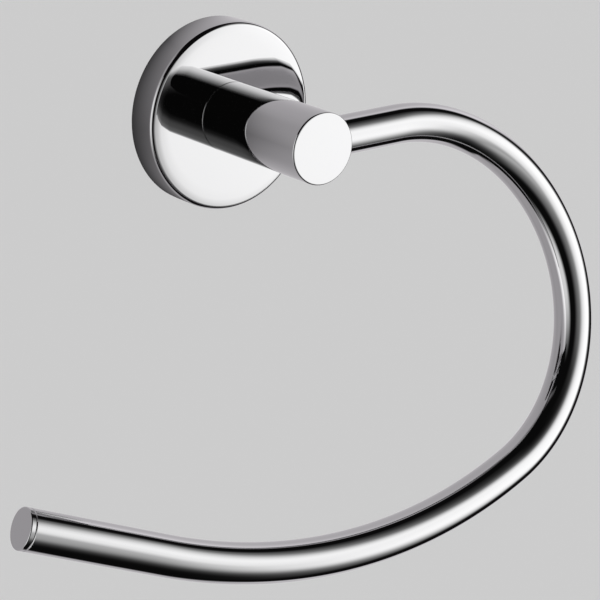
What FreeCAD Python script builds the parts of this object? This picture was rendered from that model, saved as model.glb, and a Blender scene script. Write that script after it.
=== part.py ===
import FreeCAD, Part
import math
import os

# Chrome towel ring: a round wall flange, a post, and an open ring bent from one round tube.
# Millimetres. The wall is the plane y = 0 with +Y into it, so the ring stands out towards -Y.
# +X is to the right for someone who faces the wall, and +Z is up.
# The origin is the centre of the flange, on the wall.

# Wall flange, a turned cup. Its flat face is crowned very slightly near the rim, then falls to it.
# The crown and the fall each have a width, from the rim, an angle to the face and a radius.
flange_diameter = 59.0
flange_depth = 11.5
flange_rim_wall = 3.0
flange_face_wall = 3.2
flange_edge_radius = 1.5
flange_crown_width = 5.0
flange_crown_angle = 1.6
flange_crown_radius = 100.0
flange_fall_width = 2.6
flange_fall_angle = 5.6
flange_fall_radius = 25.0
flange_inner_radius = 1.2
flange_back_chamfer = 0.4

# Post, a turned bar with a keyed spigot that goes through the flange's face
post_diameter = 22.0
post_end_wall = 3.0
post_edge_radius = 0.5
post_foot_radius = 0.3
spigot_diameter = 13.0
spigot_flats = 11.0
spigot_setback = 0.2
spigot_clearance = 0.05

# Ring, one bent tube. The lean is about its straight first run.
tube_diameter = 12.0
tube_wall = 1.0
tube_edge_chamfer = 0.25
tube_axis_reach = 37.0
tube_seat_wall = 6.5
tube_seat_clearance = 0.05
lead_run = 34.0
main_bend_radius = 57.0
main_bend_angle = 161.0
sweep_radius = 175.0
sweep_angle = 43.4
end_run = 43.7
ring_lean = 20.0

# Cap in the tube's free end
cap_head_thickness = 1.7
cap_edge_radius = 0.4
cap_plug_length = 9.0
cap_plug_clearance = 0.05
cap_plug_chamfer = 0.8

# Wall bracket, a cast dish with a V-groove around its edge
bracket_clearance = 0.25
bracket_face_gap = 1.2
bracket_web = 2.6
bracket_rim_wall = 2.4
bracket_hole_clearance = 2.2
bracket_edge_chamfer = 0.5
bracket_fillet = 1.0
groove_depth = 2.0
groove_angle = 90.0
slot_spacing = 30.0
slot_width = 5.0
slot_length = 8.0
slot_boss_wall = 2.2
slot_boss_height = 1.4
boss_edge_chamfer = 0.3

# Screws. A thread is a plain cylinder of its outer diameter.
thread_clearance = 0.05
screw_tip_chamfer = 0.6

post_screw_diameter = 6.0
post_screw_length = 16.0
post_screw_head_diameter = 10.5
post_screw_head_height = 3.3
post_screw_head_edge = 0.4
post_screw_head_land = 0.6
post_screw_head_bulge = 0.5
post_screw_socket = 4.0
post_screw_socket_depth = 2.0
post_screw_spare_depth = 3.0
drill_point_angle = 118.0

flange_grub_diameter = 5.0
flange_grub_socket = 2.5
flange_grub_socket_depth = 2.4
flange_grub_recess = 0.8
flange_grub_point = 1.4
grub_tip_gap = 0.1

tube_grub_diameter = 4.0
tube_grub_socket = 2.0
tube_grub_socket_depth = 1.6
tube_grub_recess = 0.8
hole_edge_break = 0.4

# Washers under the post screw's head
flat_washer_diameter = 18.0
flat_washer_bore = 6.4
flat_washer_thickness = 1.6
flat_washer_chamfer = 0.2
spring_washer_diameter = 11.8
spring_washer_bore = 6.1
spring_washer_thickness = 1.6
spring_washer_gap = 1.2
spring_washer_gap_angle = 20.0

# Worked out from the sizes above
flange_radius = flange_diameter / 2
flange_bore_radius = flange_radius - flange_rim_wall
flange_cavity = flange_depth - flange_face_wall
post_radius = post_diameter / 2
tube_radius = tube_diameter / 2
tube_bore_radius = tube_radius - tube_wall
tube_axis_height = flange_depth + tube_axis_reach
post_reach = tube_axis_reach + tube_radius + post_end_wall
tube_start = tube_seat_wall - post_radius
tube_grub_x = (tube_start + post_radius) / 2
bracket_radius = flange_bore_radius - bracket_clearance
bracket_depth = flange_cavity - bracket_face_gap
groove_radius = bracket_radius - groove_depth
groove_height = bracket_depth / 2
groove_half_angle = math.radians(groove_angle / 2)
screw_seat_height = flange_cavity - flat_washer_thickness - spring_washer_thickness

# Directions
X = FreeCAD.Vector(1, 0, 0)
Z = FreeCAD.Vector(0, 0, 1)
OUT = FreeCAD.Vector(0, -1, 0)
DOWN = FreeCAD.Vector(0, 0, -1)
ORIGIN = FreeCAD.Vector(0, 0, 0)


def placed(shape, point, direction):
    """Move a shape built along +Z so that it starts at a point and runs along a direction."""
    result = shape.copy()
    move = FreeCAD.Placement(point, FreeCAD.Rotation(Z, direction))
    result.Placement = move.multiply(shape.Placement)
    return result


def outline(corners):
    """A closed face in the XZ plane through corners (x, z). A third value rounds a corner."""
    count = len(corners)
    edges = []
    ends = []
    for i in range(count):
        corner = FreeCAD.Vector(corners[i][0], 0, corners[i][1])
        radius = corners[i][2] if len(corners[i]) > 2 else 0
        if radius == 0:
            ends.append((corner, corner))
            continue
        before = FreeCAD.Vector(corners[i - 1][0], 0, corners[i - 1][1]) - corner
        after = FreeCAD.Vector(corners[(i + 1) % count][0], 0, corners[(i + 1) % count][1]) - corner
        before.normalize()
        after.normalize()
        half = before.getAngle(after) / 2
        middle = before + after
        middle.normalize()
        start = corner + before * (radius / math.tan(half))
        end = corner + after * (radius / math.tan(half))
        crown = corner + middle * (radius / math.sin(half) - radius)
        edges.append(Part.Arc(start, crown, end).toShape())
        ends.append((start, end))
    for i in range(count):
        start = ends[i][1]
        end = ends[(i + 1) % count][0]
        if start.distanceToPoint(end) > 1e-7:
            edges.append(Part.LineSegment(start, end).toShape())
    return Part.Face(Part.Wire(Part.__sortEdges__(edges)))


def turned(corners):
    """A solid of revolution about +Z, from the corners (radius, height) of half its section."""
    return outline(corners).revolve(ORIGIN, Z, 360)


def hexagon(across_flats, height):
    """A hexagonal prism on z = 0, for a screw's socket."""
    corner = across_flats / math.sqrt(3)
    points = []
    for i in range(7):
        angle = math.radians(60 * i)
        points.append(FreeCAD.Vector(corner * math.cos(angle), corner * math.sin(angle), 0))
    return Part.Face(Part.makePolygon(points)).extrude(Z * height)


def slot(length, width, height):
    """A slot with round ends, along X, centred on the origin, standing on z = 0."""
    reach = (length - width) / 2
    radius = width / 2
    block = Part.makeBox(2 * reach, width, height, FreeCAD.Vector(-reach, -radius, 0))
    left = Part.makeCylinder(radius, height, FreeCAD.Vector(-reach, 0, 0))
    right = Part.makeCylinder(radius, height, FreeCAD.Vector(reach, 0, 0))
    return block.fuse([left, right]).removeSplitter()


def keyed_bar(diameter, flats, height):
    """A round bar with two flats that face +X and -X, standing on z = 0."""
    bar = Part.makeCylinder(diameter / 2, height)
    slab = Part.makeBox(flats, diameter, height, FreeCAD.Vector(-flats / 2, -diameter / 2, 0))
    return bar.common(slab)


def out_of_wall(shape):
    """Stand a shape built along +Z on the wall, so that its +Z points out of the wall."""
    return placed(shape, ORIGIN, OUT)


def grub_screw_hole(diameter, start, end, radius_at_mouth):
    """A drilled hole along +Z from start to past its mouth, with a small countersink there."""
    radius = diameter / 2 + thread_clearance
    bore = Part.makeCylinder(radius, end - start, FreeCAD.Vector(0, 0, start))
    widening = 2 * hole_edge_break
    sink_start = FreeCAD.Vector(0, 0, radius_at_mouth - hole_edge_break)
    sink = Part.makeCone(radius, radius + widening, widening, sink_start)
    return bore.fuse(sink)


def make_wall_bracket():
    """Cast dish: a web on the wall, a rim with the V-groove, and two slots in low bosses."""
    dish_radius = groove_radius - bracket_rim_wall
    hole_radius = post_screw_head_diameter / 2 + bracket_hole_clearance
    half = groove_depth * math.tan(groove_half_angle)
    dish = turned([
        (hole_radius, 0),
        (bracket_radius - bracket_edge_chamfer, 0),
        (bracket_radius, bracket_edge_chamfer),
        (bracket_radius, groove_height - half),
        (groove_radius, groove_height),
        (bracket_radius, groove_height + half),
        (bracket_radius, bracket_depth - bracket_edge_chamfer),
        (bracket_radius - bracket_edge_chamfer, bracket_depth),
        (dish_radius, bracket_depth),
        (dish_radius, bracket_web, bracket_fillet),
        (hole_radius, bracket_web),
    ])
    boss_length = slot_length + 2 * slot_boss_wall
    boss_width = slot_width + 2 * slot_boss_wall
    boss_height = bracket_web + slot_boss_height
    for side in (-1, 1):
        centre = FreeCAD.Vector(side * slot_spacing / 2, 0, 0)
        boss = slot(boss_length, boss_width, boss_height)
        top = [edge for edge in boss.Edges if edge.BoundBox.ZMin > boss_height - boss_edge_chamfer]
        boss = boss.makeChamfer(boss_edge_chamfer, top)
        boss.translate(centre)
        keep = Part.makeCylinder(dish_radius, boss_height)
        keep = keep.cut(Part.makeCylinder(hole_radius, boss_height))
        dish = dish.fuse(boss.common(keep))
    for side in (-1, 1):
        hole = slot(slot_length, slot_width, boss_height)
        hole.translate(FreeCAD.Vector(side * slot_spacing / 2, 0, 0))
        dish = dish.cut(hole)
    return out_of_wall(dish.removeSplitter())


def make_wall_flange():
    """Turned cup with a keyed hole in its face and a tapped hole in the underside of its rim."""
    crown = (flange_crown_width - flange_fall_width) * math.tan(math.radians(flange_crown_angle))
    fall = flange_fall_width * math.tan(math.radians(flange_fall_angle))
    cup = turned([
        (0, flange_depth),
        (flange_radius - flange_crown_width, flange_depth, flange_crown_radius),
        (flange_radius - flange_fall_width, flange_depth - crown, flange_fall_radius),
        (flange_radius, flange_depth - crown - fall, flange_edge_radius),
        (flange_radius, flange_back_chamfer),
        (flange_radius - flange_back_chamfer, 0),
        (flange_bore_radius, 0),
        (flange_bore_radius, flange_cavity, flange_inner_radius),
        (0, flange_cavity),
    ])
    play = 2 * spigot_clearance
    keyhole = keyed_bar(spigot_diameter + play, spigot_flats + play, flange_face_wall)
    keyhole.translate(FreeCAD.Vector(0, 0, flange_cavity))
    cup = out_of_wall(cup.cut(keyhole))
    tapped = grub_screw_hole(flange_grub_diameter, flange_bore_radius - 1, flange_radius + 1, flange_radius)
    return cup.cut(placed(tapped, FreeCAD.Vector(0, -groove_height, 0), DOWN))


def make_post():
    """Turned bar with a spigot and tapped hole at its foot, and a blind cross hole for the tube."""
    spigot_length = flange_face_wall - spigot_setback
    bar = turned([
        (0, 0),
        (post_radius, 0, post_foot_radius),
        (post_radius, post_reach, post_edge_radius),
        (0, post_reach),
    ])
    spigot = keyed_bar(spigot_diameter, spigot_flats, spigot_length)
    spigot.translate(FreeCAD.Vector(0, 0, -spigot_length))
    bar = bar.fuse(spigot)
    hole_radius = post_screw_diameter / 2 + thread_clearance
    hole_end = screw_seat_height + post_screw_length + post_screw_spare_depth - flange_depth
    point = hole_radius / math.tan(math.radians(drill_point_angle / 2))
    screw_hole = turned([
        (0, -spigot_length),
        (hole_radius + hole_edge_break, -spigot_length),
        (hole_radius, hole_edge_break - spigot_length),
        (hole_radius, hole_end),
        (0, hole_end + point),
    ])
    bar = bar.cut(screw_hole)
    bar.translate(FreeCAD.Vector(0, 0, flange_depth))
    bar = out_of_wall(bar)
    seat_radius = tube_radius + tube_seat_clearance
    seat_start = FreeCAD.Vector(tube_start, -tube_axis_height, 0)
    bar = bar.cut(placed(Part.makeCylinder(seat_radius, post_diameter), seat_start, X))
    mouth = post_side_at(tube_grub_x)
    tapped = grub_screw_hole(tube_grub_diameter, 0, post_radius + 1, mouth)
    return bar.cut(placed(tapped, FreeCAD.Vector(tube_grub_x, -tube_axis_height, 0), DOWN))


def post_side_at(x):
    """Height of the post's side above its axis at a distance x to the side of it."""
    return math.sqrt(post_radius ** 2 - x ** 2)


def ring_point(x, v):
    """A point of the ring's leaning plane: x along the straight run, v up the plane from the run."""
    lean = math.radians(ring_lean)
    return FreeCAD.Vector(x, v * math.sin(lean) - tube_axis_height, v * math.cos(lean))


def ring_path():
    """The tube's centre line: run, main bend, wide sweep and end run, each tangent to the next.

    Returns the edges, the last point and the direction there.
    """
    edges = [Part.LineSegment(ring_point(tube_start, 0), ring_point(lead_run, 0)).toShape()]
    x = lead_run
    v = 0.0
    heading = 0.0
    for radius, angle in ((main_bend_radius, main_bend_angle), (sweep_radius, sweep_angle)):
        turn = math.radians(angle)
        centre_x = x + radius * math.sin(heading)
        centre_v = v - radius * math.cos(heading)
        points = []
        for share in (0, 0.5, 1):
            h = heading - share * turn
            points.append(ring_point(centre_x - radius * math.sin(h), centre_v + radius * math.cos(h)))
        edges.append(Part.Arc(*points).toShape())
        heading -= turn
        x = centre_x - radius * math.sin(heading)
        v = centre_v + radius * math.cos(heading)
    end_x = x + end_run * math.cos(heading)
    end_v = v + end_run * math.sin(heading)
    edges.append(Part.LineSegment(ring_point(x, v), ring_point(end_x, end_v)).toShape())
    direction = ring_point(end_x, end_v) - ring_point(x, v)
    direction.normalize()
    return edges, ring_point(end_x, end_v), direction


def swept(edges, radius):
    """A round bar along tangent edges, made run by run and joined end to end."""
    path = Part.Wire(edges)
    start = ring_point(tube_start, 0)
    ring = Part.Wire([Part.makeCircle(radius, start, X)])
    return path.makePipeShell([ring], True, False)


def make_ring_tube():
    """The bent tube, with a small chamfer on the rim of its free end."""
    edges, end, direction = ring_path()
    tube = swept(edges, tube_radius).cut(swept(edges, tube_bore_radius))
    chamfer_cutter = turned([
        (tube_radius - tube_edge_chamfer, 0),
        (tube_radius + 1, 0),
        (tube_radius + 1, -tube_edge_chamfer - 1),
    ])
    return tube.cut(placed(chamfer_cutter, end, direction))


def make_tube_end_cap():
    """Turned plug in the tube's free end, with a flat head as wide as the tube."""
    edges, end, direction = ring_path()
    plug_radius = tube_bore_radius - cap_plug_clearance
    cap = turned([
        (0, cap_head_thickness),
        (tube_radius, cap_head_thickness, cap_edge_radius),
        (tube_radius, tube_edge_chamfer),
        (tube_radius - tube_edge_chamfer, 0),
        (plug_radius, 0),
        (plug_radius, cap_plug_chamfer - cap_plug_length),
        (plug_radius - cap_plug_chamfer, -cap_plug_length),
        (0, -cap_plug_length),
    ])
    return placed(cap, end, direction)


def make_post_screw():
    """Button-head socket screw, its head towards the wall and its shank out into the post."""
    radius = post_screw_diameter / 2
    head_radius = post_screw_head_diameter / 2
    top_radius = post_screw_socket / math.sqrt(3) + post_screw_head_land
    rim = FreeCAD.Vector(head_radius, 0, -post_screw_head_edge)
    top = FreeCAD.Vector(top_radius, 0, -post_screw_head_height)
    chord = top - rim
    outward = FreeCAD.Vector(-chord.z, 0, chord.x)
    outward.normalize()
    crown = Part.Arc(rim, (rim + top) * 0.5 + outward * post_screw_head_bulge, top).toShape()
    points = [
        top,
        FreeCAD.Vector(0, 0, -post_screw_head_height),
        FreeCAD.Vector(0, 0, post_screw_length),
        FreeCAD.Vector(radius - screw_tip_chamfer, 0, post_screw_length),
        FreeCAD.Vector(radius, 0, post_screw_length - screw_tip_chamfer),
        FreeCAD.Vector(radius, 0, 0),
        FreeCAD.Vector(head_radius, 0, 0),
        rim,
    ]
    edges = [crown]
    for i in range(len(points) - 1):
        edges.append(Part.LineSegment(points[i], points[i + 1]).toShape())
    screw = Part.Face(Part.Wire(Part.__sortEdges__(edges))).revolve(ORIGIN, Z, 360)
    socket = hexagon(post_screw_socket, post_screw_socket_depth)
    socket.translate(FreeCAD.Vector(0, 0, -post_screw_head_height))
    return placed(screw.cut(socket), FreeCAD.Vector(0, -screw_seat_height, 0), OUT)


def make_post_flat_washer():
    """Wide plain washer against the inside of the flange's face."""
    radius = flat_washer_diameter / 2
    washer = turned([
        (flat_washer_bore / 2, 0),
        (radius - flat_washer_chamfer, 0),
        (radius, flat_washer_chamfer),
        (radius, flat_washer_thickness - flat_washer_chamfer),
        (radius - flat_washer_chamfer, flat_washer_thickness),
        (flat_washer_bore / 2, flat_washer_thickness),
    ])
    washer.translate(FreeCAD.Vector(0, 0, flange_cavity - flat_washer_thickness))
    return out_of_wall(washer)


def make_post_spring_washer():
    """Split washer of square section, pressed flat between the screw's head and the flat washer."""
    outer = spring_washer_diameter / 2
    inner = spring_washer_bore / 2
    washer = turned([
        (inner, 0),
        (outer, 0),
        (outer, spring_washer_thickness),
        (inner, spring_washer_thickness),
    ])
    gap = Part.makeBox(
        outer + 1, spring_washer_gap, 4 * spring_washer_thickness,
        FreeCAD.Vector(0, -spring_washer_gap / 2, -2 * spring_washer_thickness))
    gap.rotate(ORIGIN, X, spring_washer_gap_angle)
    gap.translate(FreeCAD.Vector(0, 0, spring_washer_thickness / 2))
    washer = washer.cut(gap)
    washer.translate(FreeCAD.Vector(0, 0, screw_seat_height))
    return out_of_wall(washer)


def make_grub_screw(diameter, length, socket, socket_depth, point_radius, half_angle):
    """Headless socket screw along +Z: its cut-off cone point at z = 0, its socket at z = length."""
    radius = diameter / 2
    screw = turned([
        (0, 0),
        (point_radius, 0),
        (radius, (radius - point_radius) / math.tan(half_angle)),
        (radius, length - hole_edge_break),
        (radius - hole_edge_break, length),
        (0, length),
    ])
    hexagonal = hexagon(socket, socket_depth)
    hexagonal.translate(FreeCAD.Vector(0, 0, length - socket_depth))
    return screw.cut(hexagonal)


def make_flange_grub_screw():
    """Set screw in the underside of the rim, with its cone point in the bracket's V-groove."""
    flat = flange_grub_point / 2
    tip = groove_radius + grub_tip_gap + flat / math.tan(groove_half_angle)
    length = flange_radius - flange_grub_recess - tip
    screw = make_grub_screw(
        flange_grub_diameter, length, flange_grub_socket, flange_grub_socket_depth, flat, groove_half_angle)
    return placed(screw, FreeCAD.Vector(0, -groove_height, -tip), DOWN)


def make_tube_grub_screw():
    """Set screw in the underside of the post, with its flat point on the tube."""
    length = post_side_at(tube_grub_x) - tube_grub_recess - tube_radius
    flat = tube_grub_diameter / 2 - hole_edge_break
    screw = make_grub_screw(
        tube_grub_diameter, length, tube_grub_socket, tube_grub_socket_depth, flat, math.radians(45))
    return placed(screw, FreeCAD.Vector(tube_grub_x, -tube_axis_height, -tube_radius), DOWN)


pieces = {
    "wall_bracket": make_wall_bracket,
    "wall_flange": make_wall_flange,
    "post": make_post,
    "ring_tube": make_ring_tube,
    "tube_end_cap": make_tube_end_cap,
    "post_screw": make_post_screw,
    "post_flat_washer": make_post_flat_washer,
    "post_spring_washer": make_post_spring_washer,
    "flange_grub_screw": make_flange_grub_screw,
    "tube_grub_screw": make_tube_grub_screw,
}

os.makedirs("parts", exist_ok=True)
for name, make in pieces.items():
    shape = make()
    shape.exportStep("parts/" + name + ".step")
    box = shape.BoundBox
    print(name, "solids", len(shape.Solids), "valid", shape.isValid(), "volume", round(shape.Volume, 2))
    print("  x", round(box.XMin, 2), round(box.XMax, 2), "y", round(box.YMin, 2), round(box.YMax, 2),
          "z", round(box.ZMin, 2), round(box.ZMax, 2))

path_edges, path_end, path_direction = ring_path()
path_length = sum(edge.Length for edge in path_edges)
section = math.pi * (tube_radius ** 2 - tube_bore_radius ** 2)
print("tube path", round(path_length, 2), "section times length", round(section * path_length, 2))
print("main bend radius", main_bend_radius, "sweep radius", sweep_radius)
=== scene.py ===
# %% [markdown]
# A chrome towel ring, built piece by piece
#
# The towel ring is a bent tube held in a short post, and the post stands on a round flange that hides
# a cast bracket on the wall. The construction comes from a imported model, which gives every piece its
# true size and place. Here each piece is made again as a smooth mesh, because a mirror finish shows
# every facet, and it gets a finish of its own. Everything is in metres, in the frame of the packed
# model: the wall is the plane y = 0 with +Y into it, +Z is up, and the origin is the middle of the
# flange on the wall.

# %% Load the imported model
import math

import bpy
from mathutils import Matrix, Vector


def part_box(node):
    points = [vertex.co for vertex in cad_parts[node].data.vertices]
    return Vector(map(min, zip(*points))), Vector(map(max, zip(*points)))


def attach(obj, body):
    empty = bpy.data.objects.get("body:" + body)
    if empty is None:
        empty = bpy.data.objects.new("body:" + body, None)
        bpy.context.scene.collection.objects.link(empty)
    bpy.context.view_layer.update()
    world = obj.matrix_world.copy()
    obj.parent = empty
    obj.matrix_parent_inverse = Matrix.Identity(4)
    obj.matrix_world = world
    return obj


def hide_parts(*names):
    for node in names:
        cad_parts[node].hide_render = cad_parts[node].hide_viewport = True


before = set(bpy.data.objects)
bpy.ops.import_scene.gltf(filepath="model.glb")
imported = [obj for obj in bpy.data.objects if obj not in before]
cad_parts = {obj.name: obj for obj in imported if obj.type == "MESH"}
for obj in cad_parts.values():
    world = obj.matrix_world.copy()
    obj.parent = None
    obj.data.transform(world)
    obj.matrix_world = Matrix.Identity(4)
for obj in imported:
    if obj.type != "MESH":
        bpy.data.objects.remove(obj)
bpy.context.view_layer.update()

mm = 0.001


def in_scene(name, data):
    """An object with that name and data, put into the scene."""
    made = bpy.data.objects.new(name, data)
    bpy.context.scene.collection.objects.link(made)
    return made


print("nodes:", sorted(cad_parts))

# %% [markdown]
# The camera comes first. A picture is easiest to match while there is little in it, and the angle
# decides which edges of the flange, the post and the tube are seen. A long lens from less than a
# metre keeps the two rims of the flange nearly parallel. The camera is placed from the front of the
# flange: so far away, so far to the side and above, and with that point so far from the middle.

# %% Place the camera
CAMERA_AZIMUTH = math.radians(-37.15)
CAMERA_ELEVATION = math.radians(19.48)
CAMERA_DISTANCE = 0.70004
CAMERA_LENS = 136.417
CAMERA_SENSOR = 36.0
PICTURE_SIZE = 600.0
FLANGE_PIXEL = Vector((231.92, 116.93))

flange_front = Vector((0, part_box("wall_flange")[0].y, 0))
back = Vector((
    math.sin(CAMERA_AZIMUTH) * math.cos(CAMERA_ELEVATION),
    -math.cos(CAMERA_AZIMUTH) * math.cos(CAMERA_ELEVATION),
    math.sin(CAMERA_ELEVATION),
))
right = Vector((math.cos(CAMERA_AZIMUTH), math.sin(CAMERA_AZIMUTH), 0))
up = back.cross(right)
pixel_scale = CAMERA_SENSOR / CAMERA_LENS / PICTURE_SIZE
across = (FLANGE_PIXEL.x - PICTURE_SIZE / 2) * pixel_scale * CAMERA_DISTANCE
upward = (PICTURE_SIZE / 2 - FLANGE_PIXEL.y) * pixel_scale * CAMERA_DISTANCE
eye = flange_front - right * across - up * upward + back * CAMERA_DISTANCE

camera = in_scene("camera", bpy.data.cameras.new("camera"))
camera.data.lens = CAMERA_LENS
camera.data.sensor_width = CAMERA_SENSOR
camera.data.dof.use_dof = False
camera.matrix_world = Matrix.Translation(eye) @ Matrix((right, up, back)).transposed().to_4x4()
bpy.context.scene.camera = camera
print("camera at", [round(v, 4) for v in eye])

# %% [markdown]
# Shading and shapes are both written as node trees, and a tree in code is long when every node takes
# four lines. A few helpers keep it readable. One adds a node with its settings and its inputs, each a
# value or a link. One adds a Math node, and four more are made from it for sums and products. The
# others stretch one range of values to another, start a group with named sockets, and place a group.

# %% Helpers for node trees
def add(tree, kind, inputs=None, **settings):
    """Add a node, set its properties, and give each input a value or a link from a socket."""
    node = tree.nodes.new(kind)
    for name, value in settings.items():
        setattr(node, name, value)
    for key, value in (inputs or {}).items():
        if isinstance(value, bpy.types.NodeSocket):
            tree.links.new(value, node.inputs[key])
        else:
            node.inputs[key].default_value = value
    return node


def maths(tree, operation, first, second=0.0):
    """A Math node's result, from sockets or numbers."""
    return add(tree, "ShaderNodeMath", {0: first, 1: second}, operation=operation).outputs[0]


def chained(operation):
    """Make a function that joins sockets or numbers with one Math operation, from left to right."""
    def joined(tree, first, *others):
        for other in others:
            first = maths(tree, operation, first, other)
        return first
    return joined


times, plus, minus, over = (chained(name) for name in ("MULTIPLY", "ADD", "SUBTRACT", "DIVIDE"))


def ranged(tree, value, low, high, to_low=0.0, to_high=1.0, **settings):
    """A value stretched from one range to another, and held at its ends."""
    return add(tree, "ShaderNodeMapRange", {
        "Value": value, "From Min": low, "From Max": high, "To Min": to_low, "To Max": to_high,
    }, **settings).outputs["Result"]


def new_group(name, inputs, outputs, kind="ShaderNodeTree"):
    """A node group with named inputs, whose type follows their value, and outputs of given types."""
    tree = bpy.data.node_groups.new(name, kind)
    for label, value in inputs.items():
        socket_type = "NodeSocketInt" if isinstance(value, int) else "NodeSocketFloat"
        tree.interface.new_socket(label, in_out="INPUT", socket_type=socket_type).default_value = value
    for label, socket_type in outputs.items():
        tree.interface.new_socket(label, in_out="OUTPUT", socket_type=socket_type)
    return tree, tree.nodes.new("NodeGroupInput"), tree.nodes.new("NodeGroupOutput")


def placed_group(tree, group, values):
    """Put a node group into a tree, with values or links for its inputs."""
    return add(tree, "ShaderNodeGroup", values, node_tree=group).outputs


# %% [markdown]
# Chrome has hardly a look of its own: it shows the room. So the studio is the largest part of this
# finish. It could be built from lamps and white boards around the object. A world shader does the
# same with a few numbers, it is the same from every side, and a mirror never sees a lamp's stand.
# Directions are told as on a compass: azimuth 0 looks straight away from the wall, +90 is to the
# right along +X, and elevation is up. The wall side is nearly an even grey, brighter at its right end,
# with a black card low down on the right. In front hangs one large diffuser, a sheet of fabric lit
# from its right end, so it fades to the left, and its upper half reaches further to the right. It
# fades towards its top and bottom too. A white board stands on the left, and everything else is black
# cloth, which gives the bar its dark bands. Each table below goes from degrees to a brightness, to
# the place of an edge, or to how much the height of the diffuser is squeezed there.

# %% A soft-edged card on the compass
card, given, result = new_group("studio_card", {
    "Azimuth": 0.0, "Elevation": 0.0, "Left": -20.0, "Right": 20.0, "Bottom": -20.0, "Top": 20.0,
    "Side Softness": 5.0, "End Softness": 5.0}, {"Mask": "NodeSocketFloat"})
size = given.outputs


def rising(tree, value, edge, softness):
    """Nought below an edge, one above it, with a smooth step of that softness on each side."""
    low = minus(tree, edge, softness)
    high = plus(tree, edge, softness)
    return ranged(tree, value, low, high, interpolation_type="SMOOTHSTEP")


def between(tree, value, low, high, softness):
    """One between two edges and nought outside them."""
    falling = minus(tree, 1.0, rising(tree, value, high, softness))
    return times(tree, rising(tree, value, low, softness), falling)


sides = between(card, size["Azimuth"], size["Left"], size["Right"], size["Side Softness"])
ends = between(card, size["Elevation"], size["Bottom"], size["Top"], size["End Softness"])
card.links.new(times(card, sides, ends), result.inputs["Mask"])

# %% Studio world
# Grey of the studio's black cloth, which is also the grey of the painted shade flag above the flange.
BLACK_CLOTH_AND_SHADE = 0.005
WALL = {"Left": -120.0, "Bottom": -84.0, "Top": 62.5, "Side Softness": 7.0, "End Softness": 7.0}
WALL_RIGHT = {-90: 65.0, 0: 65.0, 10: 71.0, 18: 77.0, 25: 81.0, 32: 77.0, 40: 73.0, 50: 69.0,
              57: 63.0, 70: 52.0}
WALL_LIGHT = {-90: 0.50, -40: 0.52, -25: 0.49, -10: 0.53, 0: 0.55, 30: 0.60, 50: 0.69, 60: 0.86,
              72: 1.08, 84: 1.15}
WALL_EDGE = 0.003
WALL_TINT = (1.01, 0.975, 1.015)
DARK_BELOW = {"Left": 27.0, "Right": 120.0, "Bottom": -110.0, "Top": -68.0,
              "Side Softness": 8.0, "End Softness": 6.0}
UPPER_LIGHT = {-36: 0.0, -30: 0.005, -24: 0.04, -18: 0.11, -10: 0.2, -4: 0.27, 2: 0.34, 8: 0.53,
               14: 0.85, 20: 1.17, 26: 1.38, 32: 1.5, 40: 1.69, 50: 1.8, 60: 1.9, 70: 1.95,
               76: 1.5, 82: 0.75, 88: 0.2, 94: 0.0}
LOWER_LIGHT = {-36: 0.0, -30: 0.008, -24: 0.05, -18: 0.15, -10: 0.25, -4: 0.34, 2: 0.5, 9: 0.68,
               16: 0.62, 22: 0.85, 27: 1.17, 32: 1.48, 37: 1.66, 45: 1.74, 54: 1.78, 60: 1.85,
               65: 1.55, 70: 0.8, 75: 0.22, 80: 0.06, 94: 0.0}
HEIGHT_LIGHT = {-75: 0.0, -60: 0.012, -52: 0.05, -47: 0.1, -42: 0.19, -37: 0.35, -32: 0.55,
                -27: 0.76, -22: 0.9, -17: 0.98, -12: 1.0, 14: 1.0, 18: 0.97, 22: 0.88, 27: 0.7,
                32: 0.44, 37: 0.2, 42: 0.1, 48: 0.042, 55: 0.016, 65: 0.004, 75: 0.0}
NARROWING = {-20: 0.84, -10: 0.88, 10: 1.04, 30: 1.06, 50: 0.97, 66: 1.04, 76: 1.2, 84: 1.7,
             92: 2.4}
HALVES_SOFTNESS = 8.0
BOARD = {"Left": -101.5, "Right": -64.8, "Bottom": -29.0, "Top": 30.0,
         "Side Softness": 9.0, "End Softness": 22.0}
BOARD_LIGHT = 1.1
BACKDROP = 0.598

world = bpy.data.worlds.new("studio")
world.use_nodes = True
sky = world.node_tree
sky.nodes.clear()
direction = add(sky, "ShaderNodeTexCoord").outputs["Generated"]
parts = add(sky, "ShaderNodeSeparateXYZ", {0: direction}).outputs
out = times(sky, parts["Y"], -1.0)
azimuth = maths(sky, "DEGREES", maths(sky, "ARCTAN2", parts["X"], out))
elevation = maths(sky, "DEGREES", maths(sky, "ARCSINE", parts["Z"]))
compass = {"Azimuth": azimuth, "Elevation": elevation}

# %% The wall side of the studio
def uneven(tree, angle, lights):
    """Brightness that changes with an angle, from a table of degrees and light."""
    first, last = min(lights), max(lights)
    strongest = max(lights.values())
    share = over(tree, minus(tree, angle, first), last - first)
    ramp = add(tree, "ShaderNodeValToRGB", {"Fac": share})
    ramp.color_ramp.interpolation = "CARDINAL"
    stops = ramp.color_ramp.elements
    while len(stops) < len(lights):
        stops.new(0.5)
    for stop, (degrees, light) in zip(stops, sorted(lights.items())):
        stop.position = (degrees - first) / (last - first)
        stop.color = (light / strongest, light / strongest, light / strongest, 1)
    return times(tree, ramp.outputs["Color"], strongest)


wall_azimuth = maths(sky, "DEGREES", maths(sky, "ARCTAN2", parts["X"], parts["Y"]))
wall_compass = {"Azimuth": wall_azimuth, "Elevation": elevation}
wall_right = uneven(sky, elevation, WALL_RIGHT)
wall = placed_group(sky, card, {**wall_compass, **WALL, "Right": wall_right})["Mask"]
wall = times(sky, wall, rising(sky, parts["Y"], 0.0, WALL_EDGE))
dark_below = placed_group(sky, card, {**wall_compass, **DARK_BELOW})["Mask"]
wall = times(sky, wall, minus(sky, 1.0, dark_below))
wall_light = times(sky, wall, uneven(sky, wall_azimuth, WALL_LIGHT))
print("wall:", len(WALL_LIGHT), "levels of light around it")

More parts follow.
